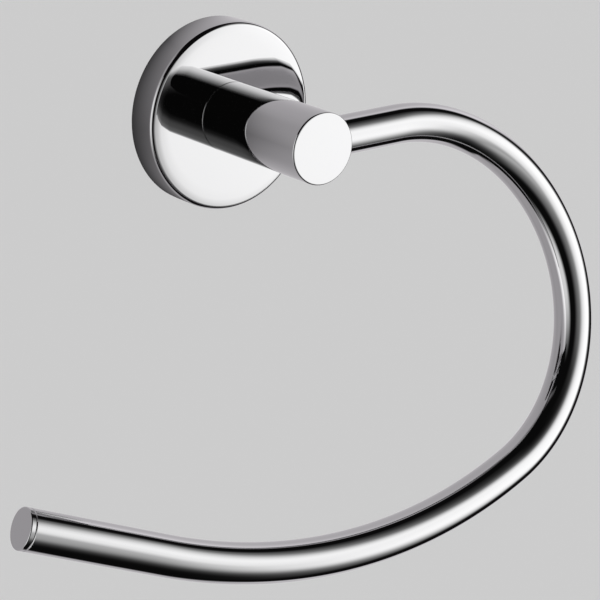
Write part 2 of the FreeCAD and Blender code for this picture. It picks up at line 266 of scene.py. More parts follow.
# %% The diffuser and the board in front
upper_half = rising(sky, elevation, 0.0, HALVES_SOFTNESS)
fabric = add(sky, "ShaderNodeMix", {
    0: upper_half, 2: uneven(sky, azimuth, LOWER_LIGHT), 3: uneven(sky, azimuth, UPPER_LIGHT)})
fade = uneven(sky, times(sky, elevation, uneven(sky, azimuth, NARROWING)), HEIGHT_LIGHT)
diffuser = times(sky, fabric.outputs[0], fade)
board = placed_group(sky, card, {**compass, **BOARD})["Mask"]
in_front = plus(sky, diffuser, times(sky, board, BOARD_LIGHT))
print("diffuser:", len(LOWER_LIGHT), "and", len(UPPER_LIGHT), "levels of light along its halves")

# %% Studio light for mirrors, plain backdrop for the eye
grey = plus(sky, in_front, BLACK_CLOTH_AND_SHADE)
mirrored = add(sky, "ShaderNodeVectorMath", {0: wall_light, 1: WALL_TINT, 2: grey},
               operation="MULTIPLY_ADD")
seen = add(sky, "ShaderNodeBackground", {"Color": (BACKDROP, BACKDROP, BACKDROP, 1)})
lights = add(sky, "ShaderNodeBackground", {"Color": mirrored.outputs[0]})
path = add(sky, "ShaderNodeLightPath").outputs
not_mirrored = maths(sky, "MAXIMUM", path["Is Camera Ray"], path["Is Diffuse Ray"])
chosen = add(sky, "ShaderNodeMixShader", {0: not_mirrored, 1: lights.outputs[0], 2: seen.outputs[0]})
add(sky, "ShaderNodeOutputWorld", {"Surface": chosen.outputs[0]})
bpy.context.scene.world = world
bpy.context.scene.view_settings.view_transform = "Standard"
print("studio world of", len(sky.nodes), "nodes")

# %% [markdown]
# The floor is far below, so that it fills the picture behind the object with one plain tone and the
# camera can also look up from underneath. A wide soft sun gives it that tone. Mirrors see neither of
# them. One more card belongs to the studio, a painted shadow: the flange keeps the diffuser's light
# off the wall on its left. That shadow was cut out of the picture, but the rim and the post still
# mirror it, so a flat ring of painted shade lies on the wall around the flange, seen by reflections
# only. It is darkest next to the flange, and it reaches furthest on the side away from the light. A
# black flag above the flange, painted shade as well, does the same for the light that the flange's
# face would throw on the top of the post.

# %% Floor, sun and the shade beside the flange
FLOOR_LEVEL = -1.25
FLOOR_REACH = 30.0
FLOOR_GREY = 0.8
FLOOR_ROUGHNESS = 0.95
SUN_STRENGTH = 0.417
SUN_SPREAD = math.radians(60)
SHADE_WIDTH = 70.0 * mm
SHADE_LENGTH = 32.0 * mm
SHADE_DEPTH = 0.93
SHADE_TURN = math.radians(184)
SHADE_SPREAD = math.radians(44)
SHADE_ENDS = math.radians(62), math.radians(112)
SHADE_GREY = 0.015
SHADE_LIFT = 0.2 * mm
RIM_GAP = 0.1 * mm
RING_STEPS = 96
FLAG_HEIGHT = 45 * mm
FLAG_LEFT = -60 * mm
FLAG_FADE = 4 * mm, 14 * mm
FLAG_DEPTHS = -15 * mm, -105 * mm


def stage_piece(name, vertices, faces, material):
    """A flat piece of the studio, which is no part of the object."""
    mesh = bpy.data.meshes.new(name)
    mesh.from_pydata(vertices, [], faces)
    mesh.materials.append(material)
    piece = in_scene(name, mesh)
    return piece


pale = bpy.data.materials.new("pale_floor")
pale.use_nodes = True
paint = pale.node_tree.nodes["Principled BSDF"].inputs
paint["Base Color"].default_value = (FLOOR_GREY, FLOOR_GREY, FLOOR_GREY, 1)
paint["Roughness"].default_value = FLOOR_ROUGHNESS
paint["Specular IOR Level"].default_value = 0.0
corners = [(x * FLOOR_REACH, y * FLOOR_REACH, FLOOR_LEVEL)
           for x, y in ((-1, -1), (1, -1), (1, 1), (-1, 1))]
floor = stage_piece("floor", corners, [(0, 1, 2, 3)], pale)
floor.visible_glossy = False
sun = in_scene("soft_sun", bpy.data.lights.new("soft_sun", "SUN"))
sun.data.energy = SUN_STRENGTH
sun.data.angle = SUN_SPREAD
sun.visible_glossy = False
print("floor at", FLOOR_LEVEL, "metres")

# %% Sheets of painted shade that only mirrors see
def start_shade_sheet(name):
    """An empty material with its tree, and the place on the painted shade sheet in metres."""
    material = bpy.data.materials.new(name)
    material.use_nodes = True
    tree = material.node_tree
    tree.nodes.clear()
    place = add(tree, "ShaderNodeTexCoord").outputs["Object"]
    return material, tree, add(tree, "ShaderNodeSeparateXYZ", {0: place}).outputs


def end_shade_sheet(tree, grey, share):
    """Show a grey of painted shade where the share is one, and let light through where it is nought."""
    dark = add(tree, "ShaderNodeEmission", {"Color": (grey, grey, grey, 1)})
    clear = add(tree, "ShaderNodeBsdfTransparent")
    blend = add(tree, "ShaderNodeMixShader", {0: share, 1: clear.outputs[0], 2: dark.outputs[0]})
    add(tree, "ShaderNodeOutputMaterial", {"Surface": blend.outputs[0]})


def only_mirrored(piece):
    """Hide a stage piece from everything but reflections."""
    for sight in ("visible_camera", "visible_diffuse", "visible_shadow"):
        setattr(piece, sight, False)


# %% Shade on the wall
# The ring is a painted shadow of the flange on the wall: a near-black grey, darkest next to the rim,
# that fades with distance and with the turn away from its darkest side.
shade, tree, spot = start_shade_sheet("wall_shade")
distance = maths(tree, "SQRT", plus(tree, times(tree, spot["X"], spot["X"]),
                                    times(tree, spot["Z"], spot["Z"])))
toward = plus(tree, times(tree, spot["X"], math.cos(SHADE_TURN)),
              times(tree, spot["Z"], math.sin(SHADE_TURN)))
turned_away = maths(tree, "ARCCOSINE", over(tree, toward, distance))
flange_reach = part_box("wall_flange")[1].x
past_rim = minus(tree, distance, flange_reach)
shortening = maths(tree, "EXPONENT", over(tree, turned_away, SHADE_SPREAD))
lengths = times(tree, over(tree, past_rim, SHADE_LENGTH), shortening)
fading = maths(tree, "EXPONENT", times(tree, lengths, -1.0))
to_edge = minus(tree, 1.0, over(tree, past_rim, SHADE_WIDTH))
depth = ranged(tree, turned_away, *SHADE_ENDS, SHADE_DEPTH, 0.0)
end_shade_sheet(tree, SHADE_GREY, times(tree, fading, to_edge, depth))

ring = []
for radius in (flange_reach + RIM_GAP, flange_reach + SHADE_WIDTH):
    for i in range(RING_STEPS):
        angle = 2 * math.pi * i / RING_STEPS
        ring.append((radius * math.cos(angle), SHADE_LIFT, radius * math.sin(angle)))
quads = [(i, (i + 1) % RING_STEPS, RING_STEPS + (i + 1) % RING_STEPS, RING_STEPS + i)
         for i in range(RING_STEPS)]
only_mirrored(stage_piece("wall_shade", ring, quads, shade))
print("shade ring reaches", round((flange_reach + SHADE_WIDTH) / mm, 1), "mm from the middle")

# %% Flag of painted shade above the flange
# The flag is painted shade: a near-black sheet that turns clear towards its right end and darkens what
# the top of the post mirrors.
flag_shade, tree, spot = start_shade_sheet("painted_shade_flag")
end_shade_sheet(tree, BLACK_CLOTH_AND_SHADE, ranged(tree, spot["X"], *FLAG_FADE, 1.0, 0.0))
near, far = FLAG_DEPTHS
corners = [(FLAG_LEFT, near, FLAG_HEIGHT), (FLAG_FADE[1], near, FLAG_HEIGHT),
           (FLAG_FADE[1], far, FLAG_HEIGHT), (FLAG_LEFT, far, FLAG_HEIGHT)]
only_mirrored(stage_piece("painted_shade_flag", corners, [(0, 1, 2, 3)], flag_shade))
print("flag hangs", round(FLAG_HEIGHT / mm, 1), "mm above the middle")

# %% [markdown]
# Effects that several finishes share are node groups, built once and placed with their own values.
# All patterns are in object coordinates, in metres, so a scale of 1000 is one wave in a millimetre.
#
# Polish: a buffed surface is never quite flat. It has a long, very shallow waviness, which makes the
# edge of a reflection waver, and a faint haze that comes and goes.
#
# Grain: a cast or tumbled surface scatters light from small pits. Fine noise gives the pits, and
# coarse noise gives slow changes of tone.
#
# Lathe marks: a tool leaves fine rings around the axis. Each turned piece carries the distance along
# its outline as an attribute, and a noise along that distance gives the rings, wherever it stands.
#
# Worn edges: chamfers and roundings are rubbed bright first. The lathe helper marks them, and noise
# breaks the mark up, so that the wear is uneven.

# %% Group for polish
HAZE_RANGE = 0.35, 0.75

polish, given, result = new_group("polish", {
    "Wave Scale": 70.0, "Wave Height": 0.000004, "Haze Scale": 260.0,
    "Low Roughness": 0.01, "High Roughness": 0.04},
    {"Roughness": "NodeSocketFloat", "Normal": "NodeSocketVector"})
size = given.outputs
place = add(polish, "ShaderNodeTexCoord").outputs["Object"]
waves = add(polish, "ShaderNodeTexNoise", {"Vector": place, "Scale": size["Wave Scale"], "Detail": 1.0})
bump = add(polish, "ShaderNodeBump", {
    "Height": waves.outputs["Fac"], "Distance": size["Wave Height"], "Strength": 1.0})
haze = add(polish, "ShaderNodeTexNoise", {
    "Vector": place, "Scale": size["Haze Scale"], "Detail": 4.0, "Distortion": 0.6})
spread = ranged(polish, haze.outputs["Fac"], *HAZE_RANGE, size["Low Roughness"], size["High Roughness"])
polish.links.new(spread, result.inputs["Roughness"])
polish.links.new(bump.outputs["Normal"], result.inputs["Normal"])

# %% Group for grain
grain, given, result = new_group("grain", {"Pit Scale": 2600.0, "Tone Scale": 160.0},
                                 {"Height": "NodeSocketFloat", "Tone": "NodeSocketFloat"})
size = given.outputs
place = add(grain, "ShaderNodeTexCoord").outputs["Object"]
pits = add(grain, "ShaderNodeTexNoise", {"Vector": place, "Scale": size["Pit Scale"], "Detail": 3.0})
tones = add(grain, "ShaderNodeTexNoise", {
    "Vector": place, "Scale": size["Tone Scale"], "Detail": 5.0, "Roughness": 0.6})
grain.links.new(pits.outputs["Fac"], result.inputs["Height"])
grain.links.new(tones.outputs["Fac"], result.inputs["Tone"])

# %% Group for lathe marks
lathe_marks, given, result = new_group("lathe_marks", {"Rings per Metre": 4500.0},
                                       {"Height": "NodeSocketFloat"})
run = add(lathe_marks, "ShaderNodeAttribute", attribute_name="outline_run").outputs["Fac"]
rings = add(lathe_marks, "ShaderNodeTexNoise", {
    "W": run, "Scale": given.outputs["Rings per Metre"], "Detail": 2.0}, noise_dimensions="1D")
lathe_marks.links.new(rings.outputs["Fac"], result.inputs["Height"])

# %% Group for worn edges
PATCH_RANGE = 0.35, 0.55

worn_edges, given, result = new_group("worn_edges", {"Patch Scale": 700.0, "Amount": 0.8},
                                      {"Mask": "NodeSocketFloat"})
edge = add(worn_edges, "ShaderNodeAttribute", attribute_name="edge").outputs["Fac"]
place = add(worn_edges, "ShaderNodeTexCoord").outputs["Object"]
patches = add(worn_edges, "ShaderNodeTexNoise", {
    "Vector": place, "Scale": given.outputs["Patch Scale"], "Detail": 3.0})
broken = ranged(worn_edges, patches.outputs["Fac"], *PATCH_RANGE)
mask = times(worn_edges, edge, broken, given.outputs["Amount"])
worn_edges.links.new(mask, result.inputs["Mask"])
print("finish groups:", [group.name for group in (polish, grain, lathe_marks, worn_edges)])

# %% [markdown]
# Chrome plate is a thin layer of chromium over polished brass and nickel. Chromium reflects a little
# more than half of the light that meets it head on, and nearly all at a grazing angle, which the
# Principled shader works out from the base colour. That is why the wall shows as mid grey on the
# end of the post and fades into the backdrop along the edges of the bar.

# %% Chrome plate
CHROMIUM = (0.553, 0.552, 0.556, 1)


def metal(name, slot, colour, roughness):
    """A metal for a slot of the record, with a Principled shader whose tree is then finished by hand."""
    material = bpy.data.materials.new(name)
    material["slot"] = slot
    material.use_nodes = True
    shader = material.node_tree.nodes["Principled BSDF"]
    shader.inputs["Base Color"].default_value = colour
    shader.inputs["Metallic"].default_value = 1.0
    shader.inputs["Roughness"].default_value = roughness
    return material, material.node_tree, shader.inputs


chrome, tree, surface = metal("mirror_chrome", "chrome_plate", CHROMIUM, 0.02)
buffed = placed_group(tree, polish, {"Low Roughness": 0.012, "High Roughness": 0.035})
tree.links.new(buffed["Roughness"], surface["Roughness"])
tree.links.new(buffed["Normal"], surface["Normal"])

# %% [markdown]
# The other metals are hidden in use, and seen when the towel ring is off the wall. The bracket is die
# cast in zinc, dull and slightly pitted, brighter where the flange has rubbed it. The post screw and
# its washers have a bright zinc plating with a bluish cast. The two grub screws are plain stainless
# steel, with the fine rings of the tool that turned them.

# %% Helpers for the dull metals
NOISE_RANGE = 0.3, 0.7


def mixed(tree, share, first, second):
    """A colour between two others."""
    return add(tree, "ShaderNodeMix", {0: share, 6: first, 7: second}, data_type="RGBA").outputs[2]


def dented(tree, surface, height, depth, strength):
    """Bump a surface by a height between nought and one, whose full depth is in metres."""
    bump = add(tree, "ShaderNodeBump", {"Height": height, "Distance": depth, "Strength": strength})
    tree.links.new(bump.outputs["Normal"], surface["Normal"])


# %% Cast zinc
CAST_GREY = (0.5, 0.51, 0.52, 1)
CAST_RUBBED = (0.68, 0.69, 0.7, 1)
CAST_TONES = 0.36, 0.54
CAST_TINT = 1.015, 1.04
CAST_ROUGHNESS = 0.5, 0.38
CAST_RUB_POLISH = 0.16
CAST_PIT_DEPTH = 0.06 * mm

zinc_casting, tree, surface = metal("cast_zinc", "zinc_casting", CAST_GREY, 0.45)
cast = placed_group(tree, grain, {"Pit Scale": 1900.0, "Tone Scale": 130.0})
rubbed = placed_group(tree, worn_edges, {"Patch Scale": 500.0, "Amount": 0.75})["Mask"]
red = ranged(tree, cast["Tone"], *NOISE_RANGE, *CAST_TONES)
green, blue = (times(tree, red, more) for more in CAST_TINT)
dull = add(tree, "ShaderNodeCombineColor", {0: red, 1: green, 2: blue})
tree.links.new(mixed(tree, rubbed, dull.outputs[0], CAST_RUBBED), surface["Base Color"])
rough = ranged(tree, cast["Tone"], *NOISE_RANGE, *CAST_ROUGHNESS)
tree.links.new(minus(tree, rough, times(tree, rubbed, CAST_RUB_POLISH)), surface["Roughness"])
dented(tree, surface, cast["Height"], CAST_PIT_DEPTH, 0.9)

# %% Zinc plating
PLATED_GREY = (0.66, 0.68, 0.71, 1)
PLATED_COOL = (0.60, 0.64, 0.70, 1)
PLATED_WARM = (0.72, 0.71, 0.69, 1)
PLATED_RUBBED = (0.50, 0.49, 0.48, 1)
PLATED_ROUGHNESS = 0.22, 0.36
PLATED_PIT_SHARE = 0.4
RING_DEPTH = 0.02 * mm

zinc_plated, tree, surface = metal("zinc_plating", "zinc_plated_steel", PLATED_GREY, 0.3)
plating = placed_group(tree, grain, {"Pit Scale": 4200.0, "Tone Scale": 420.0})
marks = placed_group(tree, lathe_marks, {"Rings per Metre": 5200.0})["Height"]
rubbed = placed_group(tree, worn_edges, {"Patch Scale": 900.0, "Amount": 0.6})["Mask"]
tint = mixed(tree, plating["Tone"], PLATED_COOL, PLATED_WARM)
tree.links.new(mixed(tree, rubbed, tint, PLATED_RUBBED), surface["Base Color"])
rough = ranged(tree, plating["Tone"], *NOISE_RANGE, *PLATED_ROUGHNESS)
tree.links.new(rough, surface["Roughness"])
height = plus(tree, times(tree, plating["Height"], PLATED_PIT_SHARE), marks)
dented(tree, surface, height, RING_DEPTH, 0.6)

# %% Stainless steel
STAINLESS_GREY = (0.6, 0.59, 0.57, 1)
STAINLESS_ROUGHNESS = 0.2
STAINLESS_RING_ROUGHNESS = 0.16
STAINLESS_RUB_POLISH = 0.1

stainless, tree, surface = metal("turned_stainless", "stainless_steel", STAINLESS_GREY, 0.26)
marks = placed_group(tree, lathe_marks, {"Rings per Metre": 7000.0})["Height"]
rubbed = placed_group(tree, worn_edges, {"Patch Scale": 1200.0, "Amount": 0.7})["Mask"]
rough = plus(tree, times(tree, marks, STAINLESS_RING_ROUGHNESS), STAINLESS_ROUGHNESS)
tree.links.new(minus(tree, rough, times(tree, rubbed, STAINLESS_RUB_POLISH)), surface["Roughness"])
dented(tree, surface, marks, RING_DEPTH, 0.7)
print("finishes:", [item.name for item in (chrome, zinc_casting, zinc_plated, stainless)])

# %% [markdown]
# Most pieces of the towel ring come off a lathe: the flange, the post, the cap, the washers and the
# screws. One helper therefore turns an outline about an axis. A mirror shows the direction of the
# surface, so each face remembers which stretch of the outline it came from, and the true direction
# is worked out from the outline and not from the facets. A corner of the outline is a radius from
# the axis, a height along it, and where it is rounded the radius of its rounding.

# %% Outline of a turned piece
ROUNDING_STEPS = 8


def stretches(corners):
    """Cut a closed half section into short stretches: start, end and the outward direction at each."""
    points = [Vector(corner[:2]) for corner in corners]
    after = points[1:] + points[:1]
    area = sum(a.x * b.y - b.x * a.y for a, b in zip(points, after)) / 2
    side = 1 if area > 0 else -1
    route = []
    for i, corner in enumerate(points):
        arriving = (corner - points[i - 1]).normalized()
        leaving = (after[i] - corner).normalized()
        radius = corners[i][2] if len(corners[i]) > 2 else 0
        if radius == 0:
            route.append((corner, arriving, leaving))
            continue
        turn = math.atan2(arriving.x * leaving.y - arriving.y * leaving.x, arriving.dot(leaving))
        start = corner - arriving * radius * math.tan(abs(turn) / 2)
        inward = Vector((-arriving.y, arriving.x)) * math.copysign(1, turn)
        centre = start + inward * radius
        for step in range(ROUNDING_STEPS + 1):
            spin = Matrix.Rotation(turn * step / ROUNDING_STEPS, 2)
            route.append((centre - spin @ inward * radius, spin @ arriving, spin @ arriving))
    found = []
    for (start, _, leaving), (end, arriving, _) in zip(route, route[1:] + route[:1]):
        first = Vector((leaving.y, -leaving.x)) * side
        last = Vector((arriving.y, -arriving.x)) * side
        found.append((start, end, first, last))
    return found, side


# %% Turn an outline into a mesh
SEGMENTS = 288
ON_AXIS = 1e-9


def mesh_of(name, vertices, faces):
    """A mesh with that name, from lists of vertices and faces."""
    mesh = bpy.data.meshes.new(name)
    mesh.from_pydata(vertices, [], faces)
    mesh.update()
    return mesh


def turned(name, corners, segments=SEGMENTS, marked=True):
    """Turn a half section about +Z. Marked faces carry the number of their stretch, counted from 1."""
    found, side = stretches(corners)
    vertices = []
    rings = []
    for start, _, _, _ in found:
        if start.x < ON_AXIS:
            rings.append([len(vertices)] * segments)
            vertices.append((0, 0, start.y))
            continue
        rings.append(range(len(vertices), len(vertices) + segments))
        for i in range(segments):
            angle = 2 * math.pi * i / segments
            vertices.append((start.x * math.cos(angle), start.x * math.sin(angle), start.y))
    faces = []
    numbers = []
    for k, ring in enumerate(rings):
        following = rings[(k + 1) % len(rings)]
        if found[k][0].x < ON_AXIS and found[k][1].x < ON_AXIS:
            continue
        for i in range(segments):
            j = (i + 1) % segments
            corner = [ring[i], ring[j], following[j], following[i]]
            faces.append(list(dict.fromkeys(corner if side > 0 else reversed(corner))))
            numbers.append(k + 1)
    mesh = mesh_of(name, vertices, faces)
    if marked:
        mesh.attributes.new("stretch", "INT", "FACE").data.foreach_set("value", numbers)
    return mesh


# %% [markdown]
# Holes and sockets are cut the way they are drilled: a second solid is taken away from the first.
# Blender's exact Boolean does that. The result is read back as a plain mesh, and the faces that the
# cutter left behind have no stretch number, so they are told apart from the turned ones. Solids that
# are cut or joined reach past each other by the same overlap, because faces that just touch are not
# safe to cut.

# %% Cut a solid with others
OVERLAP = 1.0 * mm


def cut(mesh, cutters, operation="DIFFERENCE"):
    """Apply exact Booleans with the cutter meshes, and return the plain mesh that is left."""
    work = in_scene("work", mesh)
    helpers = [in_scene("cutter", cutter) for cutter in cutters]
    for helper in helpers:
        step = work.modifiers.new("cut", "BOOLEAN")
        step.operation = operation
        step.solver = "EXACT"
        step.object = helper
    depsgraph = bpy.context.evaluated_depsgraph_get()
    result = bpy.data.meshes.new_from_object(work.evaluated_get(depsgraph))
    name = mesh.name
    for helper in [work] + helpers:
        bpy.data.objects.remove(helper)
    for used in [mesh] + cutters:
        bpy.data.meshes.remove(used)
    result.name = name
    return result


def prism(name, levels):
    """A closed solid through outlines at rising heights: pairs of an outline and its height."""
    count = len(levels[0][0])
    vertices = [(x, y, height) for outline, height in levels for x, y in outline]
    faces = [list(reversed(range(count)))]
    for level in range(len(levels) - 1):
        for i in range(count):
            a = level * count + i
            b = level * count + (i + 1) % count
            faces.append([a, b, b + count, a + count])
    faces.append(list(range((len(levels) - 1) * count, len(levels) * count)))
    return mesh_of(name, vertices, faces)


# %% [markdown]
# A finished piece is an object at the origin with its place in its mesh. The helper below moves the
# mesh from the lathe's axis to where the piece sits, gives each turned face its true directions, and
# leaves the cut faces smooth up to a sharp angle. It also writes down, for the finishes, how far
# along the outline each corner is and which faces are chamfers or roundings. Then the piece takes
# its finish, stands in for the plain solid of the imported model, and rides on its body.

# %% Finish a turned piece
SHARP = math.radians(32)
EDGE_WIDTH = 0.9 * mm
SIZE_TOLERANCE = 0.1 * mm


def standing(point, direction):
    """The place of a piece that is turned about +Z, starts at a point and runs along a direction."""
    spin = Vector((0, 0, 1)).rotation_difference(Vector(direction))
    return Matrix.Translation(point) @ spin.to_matrix().to_4x4()


def shade_turned(mesh, corners, place):
    """Set the true direction of every marked face, with the mesh already in its place."""
    found, _ = stretches(corners)
    reached = [0.0]
    for start, end, _, _ in found:
        reached.append(reached[-1] + (end - start).length)
    mesh.shade_smooth()
    mesh.set_sharp_from_angle(angle=SHARP)
    directions = [Vector(corner.vector) for corner in mesh.corner_normals]
    numbers = [item.value for item in mesh.attributes["stretch"].data]
    runs = [0.0] * len(mesh.loops)
    edges = [0.0] * len(mesh.loops)
    home = place.inverted()
    spin = place.to_3x3()
    for face in mesh.polygons:
        if numbers[face.index] == 0:
            continue
        start, end, first, last = found[numbers[face.index] - 1]
        along = end - start
        middle = home @ face.center
        for loop in face.loop_indices:
            point = home @ mesh.vertices[mesh.loops[loop].vertex_index].co
            radius = math.hypot(point.x, point.y)
            share = (Vector((radius, point.z)) - start).dot(along) / along.length_squared
            share = min(max(share, 0), 1)
            slope = first.lerp(last, share).normalized()
            outward = point if radius > ON_AXIS else middle
            outward = Vector((outward.x, outward.y, 0)).normalized() * slope.x
            directions[loop] = spin @ (outward + Vector((0, 0, slope.y)))
            runs[loop] = reached[numbers[face.index] - 1] + share * along.length
            edges[loop] = float(along.length < EDGE_WIDTH)
    mesh.attributes.remove(mesh.attributes["stretch"])
    mesh.attributes.new("outline_run", "FLOAT", "CORNER").data.foreach_set("value", runs)
    mesh.attributes.new("edge", "FLOAT", "CORNER").data.foreach_set("value", edges)
    mesh.normals_split_custom_set(directions)


def finished(mesh, material, node):
    """Make the piece's object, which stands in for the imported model's solid of that name."""
    piece = in_scene(mesh.name, mesh)
    mesh.materials.clear()
    mesh.materials.append(material)
    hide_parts(node)
    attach(piece, "root")
    low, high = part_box(node)
    for axis in range(3):
        reach = [vertex.co[axis] for vertex in mesh.vertices]
        off = max(abs(min(reach) - low[axis]), abs(max(reach) - high[axis]))
        if off > SIZE_TOLERANCE:
            print("  ", "XYZ"[axis], "differs from the packed solid by", round(off / mm, 3), "mm")
    print(piece.name, "has", len(mesh.polygons), "faces and stands in for", node)


def finish_turned(mesh, outline, place, material, node):
    """Move a turned piece from the lathe to its place, shade it and finish it."""
    mesh.transform(place)
    shade_turned(mesh, outline, place)
    finished(mesh, material, node)


# %% [markdown]
# The flange is a cup, turned from brass: a flat face, a plain rim and a hollow that takes the bracket.
# Buffing has drawn the face down a little before it meets the rim, so mirror images on the face bend
# away near its edge. The post's spigot has two flats, so the hole in the face has them too, and a
# small tapped hole in the underside of the rim takes the grub screw.

# %% Wall flange
OUT = (0, -1, 0)
DOWN = (0, 0, -1)
flange_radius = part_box("wall_flange")[1].x
flange_depth = -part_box("wall_flange")[0].y
flange_rim_wall = 3.0 * mm
flange_face_wall = 3.2 * mm
flange_edge_radius = 1.5 * mm
flange_crown_width = 5.0 * mm
flange_crown_angle = math.radians(1.6)
flange_crown_radius = 100.0 * mm
flange_fall_width = 2.6 * mm
flange_fall_angle = math.radians(5.6)
flange_fall_radius = 25.0 * mm
flange_inner_radius = 1.2 * mm
flange_back_chamfer = 0.4 * mm
flange_bore_radius = flange_radius - flange_rim_wall
flange_cavity = flange_depth - flange_face_wall
spigot_diameter = 13.0 * mm
spigot_flats = 11.0 * mm
fit_clearance = 0.05 * mm
hole_edge_break = 0.4 * mm
ARC_STEPS = 24
bracket_depth = -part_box("wall_bracket")[0].y
groove_height = bracket_depth / 2
flange_grub_diameter = 5.0 * mm


def keyed(diameter, flats):
    """Outline of a round bar with two flats that face +X and -X."""
    radius = diameter / 2
    edge = math.acos(flats / diameter)
    points = []
    for middle in (math.pi / 2, -math.pi / 2):
        for step in range(2 * ARC_STEPS + 1):
            angle = middle + (math.pi / 2 - edge) * (1 - step / ARC_STEPS)
            points.append((radius * math.cos(angle), radius * math.sin(angle)))
    return list(reversed(points))


def screw_hole(diameter, start, mouth):
    """Cutter for a tapped hole along +Z, with a small countersink where it reaches the surface."""
    radius = diameter / 2 + fit_clearance
    return turned("hole", [
        (0, start),
        (radius, start),
        (radius, mouth - hole_edge_break),
        (radius + 2 * hole_edge_break, mouth + hole_edge_break),
        (radius + 2 * hole_edge_break, mouth + OVERLAP),
        (0, mouth + OVERLAP),
    ], segments=64, marked=False)


flange_crown = (flange_crown_width - flange_fall_width) * math.tan(flange_crown_angle)
flange_fall = flange_fall_width * math.tan(flange_fall_angle)
flange_outline = [
    (0, flange_depth),
    (flange_radius - flange_crown_width, flange_depth, flange_crown_radius),
    (flange_radius - flange_fall_width, flange_depth - flange_crown, flange_fall_radius),
    (flange_radius, flange_depth - flange_crown - flange_fall, flange_edge_radius),
    (flange_radius, flange_back_chamfer),
    (flange_radius - flange_back_chamfer, 0),
    (flange_bore_radius, 0),
    (flange_bore_radius, flange_cavity, flange_inner_radius),
    (0, flange_cavity),
]
wall_place = standing((0, 0, 0), OUT)
flange = turned("wall_flange_chrome", flange_outline)
keyhole_outline = keyed(spigot_diameter + 2 * fit_clearance, spigot_flats + 2 * fit_clearance)
keyhole = prism("keyhole", [
    (keyhole_outline, flange_cavity - OVERLAP), (keyhole_outline, flange_depth + OVERLAP)])
grub_hole = screw_hole(flange_grub_diameter, flange_bore_radius - OVERLAP, flange_radius)
grub_hole.transform(wall_place.inverted() @ standing((0, -groove_height, 0), DOWN))
flange = cut(flange, [keyhole, grub_hole])
finish_turned(flange, flange_outline, wall_place, chrome, "wall_flange")

# %% [markdown]
# The post is a solid bar with a flat end. It stands on the flange's face with a spigot that goes
# through it. A blind hole across it, near its end, takes the tube, and a tapped hole from below takes
# the grub screw that holds the tube. The edge at its foot is rounded, and that edge and its mirror
# image in the face give the fine bright line around the foot.

# %% Post
post_radius = 11.0 * mm
post_front = -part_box("post")[0].y
post_edge_radius = 0.5 * mm
post_foot_radius = 0.3 * mm
spigot_length = flange_face_wall - 0.2 * mm
tube_radius = 6.0 * mm
tube_axis_height = flange_depth + 37.0 * mm
tube_start = 6.5 * mm - post_radius
tube_grub_diameter = 4.0 * mm
tube_grub_x = (tube_start + post_radius) / 2
post_screw_diameter = 6.0 * mm
post_screw_length = 16.0 * mm
washer_thickness = 1.6 * mm
screw_seat_height = flange_cavity - 2 * washer_thickness

post_outline = [
    (0, flange_depth),
    (post_radius, flange_depth, post_foot_radius),
    (post_radius, post_front, post_edge_radius),
    (0, post_front),
]
post = turned("post_chrome", post_outline)
spigot_outline = keyed(spigot_diameter, spigot_flats)
spigot = prism("spigot", [
    (spigot_outline, flange_depth - spigot_length), (spigot_outline, flange_depth + OVERLAP)])
post = cut(post, [spigot], "UNION")
screw_bore_radius = post_screw_diameter / 2 + fit_clearance
screw_bore_end = screw_seat_height + post_screw_length + 3.0 * mm
drill_point = math.radians(118.0)
screw_bore = turned("screw_bore", [
    (0, flange_depth - spigot_length - OVERLAP),
    (screw_bore_radius + hole_edge_break + OVERLAP, flange_depth - spigot_length - OVERLAP),
    (screw_bore_radius, flange_depth - spigot_length + hole_edge_break),
    (screw_bore_radius, screw_bore_end),
    (0, screw_bore_end + screw_bore_radius / math.tan(drill_point / 2)),
], segments=64, marked=False)
cross_hole = turned("cross_hole", [
    (0, 0),
    (tube_radius + fit_clearance, 0),
    (tube_radius + fit_clearance, 2 * post_radius),
    (0, 2 * post_radius),
], segments=192, marked=False)
cross_hole.transform(wall_place.inverted() @ standing((tube_start, -tube_axis_height, 0), (1, 0, 0)))
post_side = math.sqrt(post_radius ** 2 - tube_grub_x ** 2)
tube_grub_hole = screw_hole(tube_grub_diameter, 0, post_side)
tube_grub_hole.transform(wall_place.inverted() @ standing((tube_grub_x, -tube_axis_height, 0), DOWN))
post = cut(post, [screw_bore, cross_hole, tube_grub_hole])
finish_turned(post, post_outline, wall_place, chrome, "post")

# %% [markdown]
# The ring is one tube, and a bending machine makes it from a short list: run straight for so long,
# bend at this radius through this angle, then at that radius through that angle, and run out. That
# list is a rule, so Geometry Nodes follows it. Points are spread evenly along the tube, each one gets
# the direction that the tube has there, and adding up small steps in those directions gives the line.

# %% The ring's bending list
bending = {
    "Lead Run": 34.0 * mm - tube_start,
    "Main Bend Radius": 57.0 * mm,
    "Main Bend Angle": math.radians(161.0),
    "Sweep Radius": 175.0 * mm,
    "Sweep Angle": math.radians(43.4),
    "End Run": 43.7 * mm,
    "Start": tube_start,
    "Reach": tube_axis_height,
    "Lean": math.radians(20.0),
    "Tube Radius": tube_radius,
    "Stations": 560,
    "Sides": 80,
}


# %% Helpers for shape trees
def new_shape_tree(name, sizes):
    """A Geometry Nodes tree with the named sizes, a material input and a geometry output."""
    tree, given, result = new_group(name, sizes, {"Geometry": "NodeSocketGeometry"}, "GeometryNodeTree")
    tree.interface.new_socket("Material", in_out="INPUT", socket_type="NodeSocketMaterial")
    return tree, given, result


def end_shape_tree(tree, given, result, geometry):
    """Finish a tree: smooth shading, real geometry and its material."""
    smooth = add(tree, "GeometryNodeSetShadeSmooth", {"Geometry": geometry})
    real = add(tree, "GeometryNodeRealizeInstances", {"Geometry": smooth.outputs[0]})
    named = add(tree, "GeometryNodeSetMaterial", {
        "Geometry": real.outputs[0], "Material": given.outputs["Material"]})
    tree.links.new(named.outputs[0], result.inputs["Geometry"])


